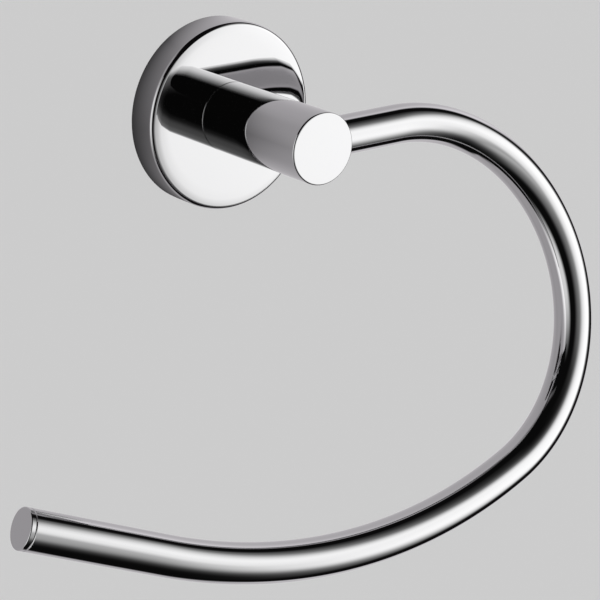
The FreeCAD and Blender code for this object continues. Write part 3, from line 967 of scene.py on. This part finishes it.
def grown(tree, name, sizes, material, finishing=()):
    """Run a tree on an empty mesh, with further modifiers, and return the plain mesh."""
    empty = bpy.data.meshes.new("empty")
    work = in_scene("work", empty)
    step = work.modifiers.new(tree.name, "NODES")
    step.node_group = tree
    sockets = {s.name: s.identifier for s in tree.interface.items_tree if s.in_out == "INPUT"}
    for size, value in {**sizes, "Material": material}.items():
        step[sockets[size]] = value
    for kind, settings in finishing:
        extra = work.modifiers.new(kind.lower(), kind)
        for setting, value in settings.items():
            setattr(extra, setting, value)
    depsgraph = bpy.context.evaluated_depsgraph_get()
    mesh = bpy.data.meshes.new_from_object(work.evaluated_get(depsgraph))
    mesh.name = name
    bpy.data.objects.remove(work)
    bpy.data.meshes.remove(empty)
    return mesh


# %% Tree that bends the tube
tree, given, result = new_shape_tree("bent_tube", bending)
size = given.outputs
main_length = times(tree, size["Main Bend Radius"], size["Main Bend Angle"])
sweep_length = times(tree, size["Sweep Radius"], size["Sweep Angle"])
sweep_start = plus(tree, size["Lead Run"], main_length)
sweep_end = plus(tree, sweep_start, sweep_length)
total = plus(tree, sweep_end, size["End Run"])
step = over(tree, total, minus(tree, size["Stations"], 1.0))
index = add(tree, "GeometryNodeInputIndex").outputs[0]
middle = times(tree, plus(tree, index, 0.5), step)


def bend_so_far(start, radius, angle):
    """How far a bend has turned at the middle of each step, from nothing to its full angle."""
    turned_by = over(tree, minus(tree, middle, start), radius)
    return maths(tree, "MINIMUM", maths(tree, "MAXIMUM", turned_by, 0.0), angle)


main_turn = bend_so_far(size["Lead Run"], size["Main Bend Radius"], size["Main Bend Angle"])
sweep_turn = bend_so_far(sweep_start, size["Sweep Radius"], size["Sweep Angle"])
heading = plus(tree, main_turn, sweep_turn)
run = times(tree, maths(tree, "COSINE", heading), step)
drop = times(tree, maths(tree, "SINE", heading), step)
small_step = add(tree, "ShaderNodeCombineXYZ", {0: run, 2: times(tree, drop, -1.0)})
sums = add(tree, "GeometryNodeAccumulateField", {0: small_step.outputs[0]}, data_type="FLOAT_VECTOR")
line = add(tree, "GeometryNodeCurvePrimitiveLine")
points = add(tree, "GeometryNodeResampleCurve", {"Curve": line.outputs[0], "Count": size["Stations"]})
bent = add(tree, "GeometryNodeSetPosition", {"Geometry": points.outputs[0], "Position": sums.outputs[1]})
place = add(tree, "ShaderNodeCombineXYZ", {
    0: size["Start"], 1: times(tree, size["Reach"], -1.0)})
lean = add(tree, "ShaderNodeCombineXYZ", {0: times(tree, size["Lean"], -1.0)})
leaning = add(tree, "GeometryNodeTransform", {
    "Geometry": bent.outputs[0], "Translation": place.outputs[0], "Rotation": lean.outputs[0]})
circle = add(tree, "GeometryNodeCurvePrimitiveCircle", {
    "Resolution": size["Sides"], "Radius": size["Tube Radius"]})
skin = add(tree, "GeometryNodeCurveToMesh", {
    "Curve": leaning.outputs[0], "Profile Curve": circle.outputs[0]})
end_shape_tree(tree, given, result, skin.outputs[0])

# %% Ring tube
tube_wall = 1.0 * mm
tube_edge_chamfer = 0.25 * mm
tube_edge_angle = math.radians(60)
tube = grown(tree, "ring_tube_chrome", bending, chrome, [
    ("SOLIDIFY", {"thickness": tube_wall, "offset": -1.0, "use_rim": True}),
    ("BEVEL", {"width": tube_edge_chamfer, "segments": 1, "limit_method": "ANGLE",
               "angle_limit": tube_edge_angle, "offset_type": "OFFSET"}),
])
tube.shade_smooth()
tube.set_sharp_from_angle(angle=SHARP)
finished(tube, chrome, "ring_tube")

# %% [markdown]
# The free end is closed with a turned plug. Its head is as wide as the tube, and a small chamfer on
# both sides of the joint leaves the dark line that shows where the tube ends. Plain code follows the
# same bending list once more, because the plug has to know where the tube ends and where it points.

# %% Where the tube ends
def on_plane(x, v):
    """A point of the ring's leaning plane, x along the straight run and v up the plane from it."""
    tilt = bending["Lean"]
    return Vector((x, v * math.sin(tilt) - tube_axis_height, v * math.cos(tilt)))


x, v, turn = bending["Start"] + bending["Lead Run"], 0.0, 0.0
for bend in ("Main Bend", "Sweep"):
    radius, angle = bending[bend + " Radius"], bending[bend + " Angle"]
    x += radius * (math.sin(turn + angle) - math.sin(turn))
    v += radius * (math.cos(turn + angle) - math.cos(turn))
    turn += angle
last_bend = on_plane(x, v)
free_end = on_plane(x + bending["End Run"] * math.cos(turn), v - bending["End Run"] * math.sin(turn))
free_direction = (free_end - last_bend).normalized()
print("free end at", [round(value / mm, 2) for value in free_end], "mm")

# %% Tube end cap
cap_head = 1.7 * mm
cap_edge_radius = 0.4 * mm
cap_plug_radius = tube_radius - tube_wall - fit_clearance
cap_plug_length = 9.0 * mm
cap_plug_chamfer = 0.8 * mm
cap_outline = [
    (0, cap_head),
    (tube_radius, cap_head, cap_edge_radius),
    (tube_radius, tube_edge_chamfer),
    (tube_radius - tube_edge_chamfer, 0),
    (cap_plug_radius, 0),
    (cap_plug_radius, cap_plug_chamfer - cap_plug_length),
    (cap_plug_radius - cap_plug_chamfer, -cap_plug_length),
    (0, -cap_plug_length),
]
cap_place = standing(free_end, free_direction)
cap = turned("tube_end_cap_chrome", cap_outline, segments=160)
finish_turned(cap, cap_outline, cap_place, chrome, "tube_end_cap")

# %% [markdown]
# The bracket is a die-cast dish that is screwed to the wall: a flat web, a rim with a V-groove for
# the grub screw's point, and two slots in low bosses for the wall screws. The turned part is a
# closed ring, the bosses are added to it and the slots are cut through. A casting has no sharp
# edges, so the bosses and slots get small chamfers, which also catch the light.

# %% Wall bracket
bracket_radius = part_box("wall_bracket")[1].x
groove_depth = 2.0 * mm
groove_radius = bracket_radius - groove_depth
dish_radius = groove_radius - 2.4 * mm
bracket_web = 2.6 * mm
bracket_chamfer = 0.5 * mm
bracket_fillet = 1.0 * mm
screw_head_radius = 5.25 * mm
web_hole_radius = screw_head_radius + 2.2 * mm
slot_spacing = 30.0 * mm
slot_length = 8.0 * mm
slot_width = 5.0 * mm
boss_wall = 2.2 * mm
boss_top = bracket_web + 1.4 * mm
cast_chamfer = 0.3 * mm
chamfer_overlap = 0.1 * mm
room_floor = 0.5 * mm
bracket_outline = [
    (web_hole_radius, 0),
    (bracket_radius - bracket_chamfer, 0),
    (bracket_radius, bracket_chamfer),
    (bracket_radius, groove_height - groove_depth),
    (groove_radius, groove_height),
    (bracket_radius, groove_height + groove_depth),
    (bracket_radius, bracket_depth - bracket_chamfer),
    (bracket_radius - bracket_chamfer, bracket_depth),
    (dish_radius + cast_chamfer, bracket_depth),
    (dish_radius, bracket_depth - cast_chamfer),
    (dish_radius, bracket_web, bracket_fillet),
    (web_hole_radius, bracket_web),
]


def rounded_slot(centre, length, width, margin=0.0):
    """Outline of a slot with round ends along X, wider by a margin all round."""
    radius = width / 2 + margin
    reach = (length - width) / 2
    points = []
    for side in (1, -1):
        for step in range(ARC_STEPS + 1):
            angle = -math.pi / 2 + math.pi * step / ARC_STEPS
            out = side * (reach + radius * math.cos(angle))
            points.append((centre + out, side * radius * math.sin(angle)))
    return points


bosses = []
slots = []
for centre in (-slot_spacing / 2, slot_spacing / 2):
    wide = rounded_slot(centre, slot_length, slot_width, boss_wall)
    narrow = rounded_slot(centre, slot_length, slot_width, boss_wall - cast_chamfer)
    bosses.append(prism("boss", [
        (wide, bracket_web - OVERLAP), (wide, boss_top - cast_chamfer), (narrow, boss_top)]))
    plain_slot = rounded_slot(centre, slot_length, slot_width)
    open_slot = rounded_slot(centre, slot_length, slot_width, cast_chamfer + chamfer_overlap)
    slots.append(prism("slot", [
        (open_slot, -chamfer_overlap), (plain_slot, cast_chamfer),
        (plain_slot, boss_top - cast_chamfer), (open_slot, boss_top + chamfer_overlap)]))
room = turned("room", [
    (web_hole_radius, room_floor),
    (dish_radius + OVERLAP, room_floor),
    (dish_radius + OVERLAP, boss_top + OVERLAP),
    (web_hole_radius, boss_top + OVERLAP),
], marked=False)
bosses = cut(cut(bosses[0], bosses[1:], "UNION"), [room], "INTERSECT")
bracket = cut(turned("wall_bracket_cast", bracket_outline, segments=192), [bosses], "UNION")
bracket = cut(bracket, slots)
finish_turned(bracket, bracket_outline, wall_place, zinc_casting, "wall_bracket")

# %% [markdown]
# Three screws hold the towel ring together, and each has a thread. A thread is a rule: one turn of
# angle lifts the profile by one pitch. Geometry Nodes wraps a flat grid around the axis so that its
# rows follow the helix, which keeps the crest of the thread on one line of points. Each end closes
# on the axis, so the rod is a closed solid that the Booleans can cut to a real screw.

# %% Tree for a threaded rod
CREST_END = 0.126
ROOT_START = 0.75
ROW_NUDGE = 0.0005
END_NUDGE = 0.0001
WELD = 0.001 * mm

thread_sizes = {"Diameter": 6.0 * mm, "Pitch": 1.0 * mm, "Depth": 0.6 * mm, "Turns": 18,
                "Rows per Turn": 16, "Sides": 64}
tree, given, result = new_shape_tree("threaded_rod", thread_sizes)
size = given.outputs
rows = plus(tree, times(tree, plus(tree, size["Turns"], 1.0), size["Rows per Turn"]), 2.0)
grid = add(tree, "GeometryNodeMeshGrid", {
    "Size X": 1.0, "Size Y": 1.0, "Vertices X": plus(tree, rows, 1.0),
    "Vertices Y": plus(tree, size["Sides"], 1.0)})
spot = add(tree, "ShaderNodeSeparateXYZ", {0: add(tree, "GeometryNodeInputPosition").outputs[0]}).outputs
row = times(tree, plus(tree, spot["X"], 0.5), rows)
around = plus(tree, spot["Y"], 0.5)
turned_rows = over(tree, minus(tree, row, 1.0), size["Rows per Turn"])
lift = plus(tree, minus(tree, turned_rows, 1.0), around)
height = maths(tree, "MINIMUM", maths(tree, "MAXIMUM", lift, 0.0), size["Turns"])
overshoot = maths(tree, "ABSOLUTE", minus(tree, lift, height))
off_end = maths(tree, "GREATER_THAN", overshoot, END_NUDGE)
phase = maths(tree, "FRACT", plus(tree, turned_rows, ROW_NUDGE))
slant = maths(tree, "ABSOLUTE", minus(tree, times(tree, phase, 2.0), 1.0))
profile = times(tree, ranged(tree, slant, CREST_END, ROOT_START, 1.0, 0.0), minus(tree, 1.0, off_end))
core = minus(tree, times(tree, size["Diameter"], 0.5), size["Depth"])
radius = plus(tree, core, times(tree, profile, size["Depth"]))
first_row = maths(tree, "LESS_THAN", row, 0.5)
last_row = maths(tree, "GREATER_THAN", row, minus(tree, rows, 0.5))
end_row = plus(tree, first_row, last_row)
radius = times(tree, radius, minus(tree, 1.0, end_row))
angle = times(tree, around, 2 * math.pi)
wrapped = add(tree, "ShaderNodeCombineXYZ", {
    0: times(tree, radius, maths(tree, "COSINE", angle)),
    1: times(tree, radius, maths(tree, "SINE", angle)),
    2: times(tree, height, size["Pitch"])})
rod = add(tree, "GeometryNodeSetPosition", {
    "Geometry": grid.outputs["Mesh"], "Position": wrapped.outputs[0]})
welded = add(tree, "GeometryNodeMergeByDistance", {"Geometry": rod.outputs[0], "Distance": WELD})
end_shape_tree(tree, given, result, welded.outputs[0])
thread_tree = tree

# %% Threaded rod
THREAD_DEPTH = 0.61
SPARE_TURNS = 3


def threaded_rod(diameter, pitch, length, material):
    """A closed threaded rod along +Z that covers a length from nought, with spare turns."""
    sizes = {**thread_sizes, "Diameter": diameter, "Pitch": pitch, "Depth": THREAD_DEPTH * pitch,
             "Turns": math.ceil(length / pitch) + SPARE_TURNS}
    rod = grown(thread_tree, "rod", sizes, material)
    rod.transform(Matrix.Translation((0, 0, -SPARE_TURNS / 2 * pitch)))
    return rod


# %% [markdown]
# A screw is made as it is on the machine: a turned blank is cut with the thread, and the chamfer on
# its tip takes the last turn down to nothing. Here the blank is the envelope, and what the threaded
# rod and the blank have in common is the screw. The hexagonal socket is cut last.

# %% Post screw
def hexagon(across_flats):
    """Outline of a hexagonal socket."""
    corner = across_flats / math.sqrt(3)
    return [(corner * math.cos(math.pi * i / 3), corner * math.sin(math.pi * i / 3)) for i in range(6)]


screw_head_height = 3.3 * mm
screw_head_edge = 0.4 * mm
screw_socket = 4.0 * mm
screw_socket_depth = 2.0 * mm
screw_head_land = 0.6 * mm
screw_head_bulge = 0.5 * mm
screw_tip_chamfer = 0.6 * mm
post_screw_pitch = 1.0 * mm
shank_overlap = 0.3 * mm
crown_share = 0.98

head_top_radius = screw_socket / math.sqrt(3) + screw_head_land
rim = Vector((screw_head_radius, -screw_head_edge))
top = Vector((head_top_radius, -screw_head_height))
chord = (top - rim).length
half_turn = 2 * math.atan(2 * screw_head_bulge / chord)
crown_radius = chord / 2 / math.sin(half_turn)
outward = Vector((-(top - rim).y, (top - rim).x)).normalized()
crown = (rim + top) / 2 + outward * math.tan(half_turn) * chord / 2
screw_radius = post_screw_diameter / 2
head_outline = [
    (0, -screw_head_height),
    (top.x, top.y),
    (crown.x, crown.y, crown_radius * crown_share),
    (rim.x, rim.y),
    (screw_head_radius, 0),
    (0, 0),
]
shank_outline = [
    (0, -shank_overlap),
    (screw_radius, -shank_overlap),
    (screw_radius, post_screw_length - screw_tip_chamfer),
    (screw_radius - screw_tip_chamfer, post_screw_length),
    (0, post_screw_length),
]
shank = cut(turned("shank", shank_outline, segments=96, marked=False), [
    threaded_rod(post_screw_diameter, post_screw_pitch, post_screw_length, zinc_plated)], "INTERSECT")
screw = cut(turned("post_screw_plated", head_outline, segments=128), [shank], "UNION")
screw = cut(screw, [prism("socket", [
    (hexagon(screw_socket), -screw_head_height - OVERLAP),
    (hexagon(screw_socket), screw_socket_depth - screw_head_height)])])
seat_place = standing((0, -screw_seat_height, 0), OUT)
finish_turned(screw, head_outline, seat_place, zinc_plated, "post_screw")


# %% Grub screws
def grub_screw(name, diameter, pitch, length, socket, socket_depth, flat, half_angle, place, node):
    """Headless screw: its cut-off cone point at the start, its socket at the far end."""
    radius = diameter / 2
    outline = [
        (0, 0),
        (flat, 0),
        (radius, (radius - flat) / math.tan(half_angle)),
        (radius, length - hole_edge_break),
        (radius - hole_edge_break, length),
        (0, length),
    ]
    rod = threaded_rod(diameter, pitch, length, stainless)
    body = cut(turned(name, outline, segments=96), [rod], "INTERSECT")
    body = cut(body, [prism("socket", [
        (hexagon(socket), length - socket_depth), (hexagon(socket), length + OVERLAP)])])
    finish_turned(body, outline, place, stainless, node)


recess = 0.8 * mm
point_flat = 0.7 * mm
point_gap = 0.1 * mm
tip = groove_radius + point_gap + point_flat
grub_screw("flange_grub_screw_steel", flange_grub_diameter, 0.8 * mm, flange_radius - recess - tip,
           2.5 * mm, 2.4 * mm, point_flat, math.radians(45),
           standing((0, -groove_height, -tip), DOWN), "flange_grub_screw")
grub_screw("tube_grub_screw_steel", tube_grub_diameter, 0.7 * mm, post_side - recess - tube_radius,
           2.0 * mm, 1.6 * mm, tube_grub_diameter / 2 - hole_edge_break, math.radians(45),
           standing((tube_grub_x, -tube_axis_height, -tube_radius), DOWN), "tube_grub_screw")

# %% [markdown]
# Two washers lie under the screw's head: a wide plain one, punched from sheet, and a spring washer,
# a short coil of square wire that is pressed flat and whose ends leave a slanted gap.

# %% Flat washer
washer_radius = 9.0 * mm
washer_hole_radius = 3.2 * mm
washer_edge = 0.2 * mm
washer_outline = [
    (washer_hole_radius, 0),
    (washer_radius - washer_edge, 0),
    (washer_radius, washer_edge),
    (washer_radius, washer_thickness - washer_edge),
    (washer_radius - washer_edge, washer_thickness),
    (washer_hole_radius, washer_thickness),
]
flat_place = standing((0, washer_thickness - flange_cavity, 0), OUT)
flat_washer = turned("post_flat_washer_plated", washer_outline, segments=160)
finish_turned(flat_washer, washer_outline, flat_place, zinc_plated, "post_flat_washer")

# %% Spring washer
spring_gap = 1.2 * mm
spring_gap_angle = math.radians(20.0)
wire_rounding = 0.15 * mm
spring_outer = 5.9 * mm
spring_inner = 3.05 * mm
spring_outline = [
    (spring_inner, 0, wire_rounding),
    (spring_outer, 0, wire_rounding),
    (spring_outer, washer_thickness, wire_rounding),
    (spring_inner, washer_thickness, wire_rounding),
]
gap_reach = spring_outer + OVERLAP
gap_outline = [(0, -spring_gap / 2), (gap_reach, -spring_gap / 2),
               (gap_reach, spring_gap / 2), (0, spring_gap / 2)]
gap = prism("gap", [(gap_outline, -2 * washer_thickness), (gap_outline, 2 * washer_thickness)])
slant_middle = Matrix.Translation((0, 0, washer_thickness / 2))
gap.transform(slant_middle @ Matrix.Rotation(spring_gap_angle, 4, "X"))
spring_washer = cut(turned("post_spring_washer_plated", spring_outline, segments=160), [gap])
finish_turned(spring_washer, spring_outline, seat_place, zinc_plated, "post_spring_washer")
